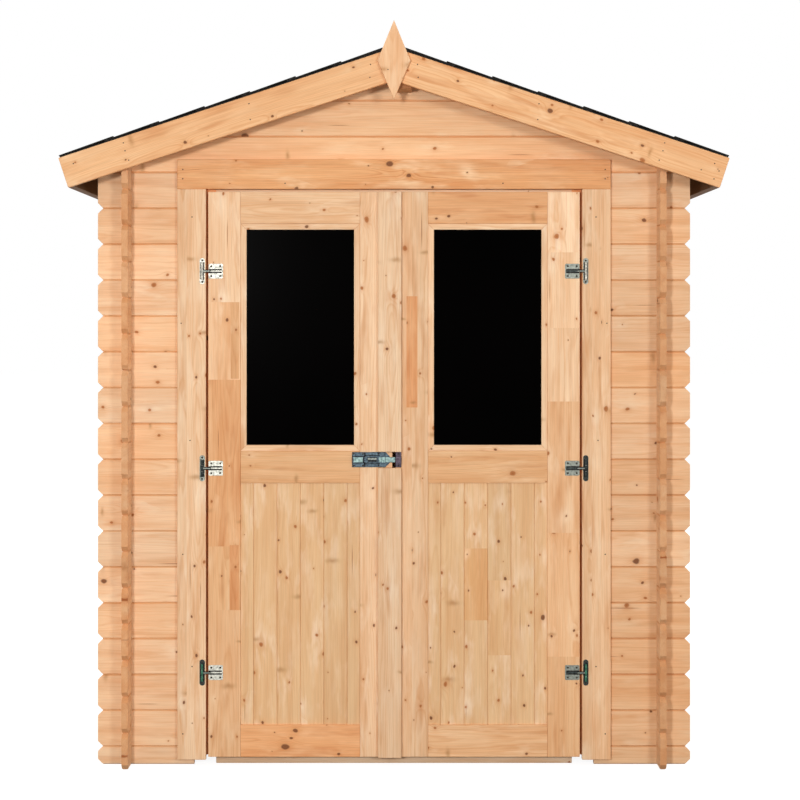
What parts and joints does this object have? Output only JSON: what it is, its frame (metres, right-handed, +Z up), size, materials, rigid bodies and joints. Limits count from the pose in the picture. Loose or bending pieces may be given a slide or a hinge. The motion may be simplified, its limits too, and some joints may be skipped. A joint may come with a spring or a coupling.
{
  "type": "wooden garden shed",
  "caption": "Garden shed of interlocking spruce boards with crossed corners, a gabled shingle roof and a double door with tall panes and a sliding latch.",
  "frame": {"origin": "on the ground under the middle of the shed", "axes": "+Z up, front with the doors faces -Y, +X to the right seen from the front"},
  "size_m": [2, 1.906, 2.241],
  "materials": {
    "wall_spruce": "planed, untreated",
    "door_spruce": "planed, untreated",
    "bitumen_shingle": "mineral grit",
    "zinc_plated_steel": "bright zinc plate",
    "window_glass": "clear, dark behind"
  },
  "bodies": {
    "root": {"front_wall_left": "wall_spruce", "front_wall_right": "wall_spruce", "front_gable": "wall_spruce", "rear_wall": "wall_spruce", "rear_gable": "wall_spruce", "side_wall_left": "wall_spruce", "side_wall_right": "wall_spruce", "door_post_left": "door_spruce", "door_post_right": "door_spruce", "door_head": "door_spruce", "door_sill": "door_spruce", "header_trim": "door_spruce", "jamb_trim_left": "door_spruce", "jamb_trim_right": "door_spruce", "ridge_purlin": "wall_spruce", "roof_boards_left": "wall_spruce", "roof_boards_right": "wall_spruce", "felt_left": "bitumen_shingle", "felt_right": "bitumen_shingle", "eave_board_left": "wall_spruce", "eave_board_right": "wall_spruce", "barge_boards_front": "wall_spruce", "barge_boards_rear": "wall_spruce", "finial_front": "wall_spruce", "finial_rear": "wall_spruce", "hinge_plates_left": "zinc_plated_steel", "hinge_plates_right": "zinc_plated_steel"},
    "left_door": {"left_door_stiles": "door_spruce", "left_door_rails": "door_spruce", "left_door_panel": "door_spruce", "left_door_pane": "window_glass", "left_door_beads": "door_spruce", "left_door_straps": "zinc_plated_steel", "cover_strip": "door_spruce", "latch_plate": "zinc_plated_steel"},
    "bolt": {"latch_bolt": "zinc_plated_steel"},
    "right_door": {"right_door_stiles": "door_spruce", "right_door_rails": "door_spruce", "right_door_panel": "door_spruce", "right_door_pane": "window_glass", "right_door_beads": "door_spruce", "right_door_straps": "zinc_plated_steel", "latch_keeper": "zinc_plated_steel"}
  },
  "joints": [
    {"name": "left_door_hinge", "type": "hinge", "parent": "root", "child": "left_door", "pos_m": [-0.581, -0.842, 0.901], "axis": [0, 0, -1], "range_deg": [0, 155]},
    {"name": "right_door_hinge", "type": "hinge", "parent": "root", "child": "right_door", "pos_m": [0.581, -0.842, 0.901], "axis": [0, 0, 1], "range_deg": [0, 155]},
    {"name": "latch_slide", "type": "slide", "parent": "left_door", "child": "bolt", "axis": [1, 0, 0], "range_m": [0, 0.016]}
  ]
}
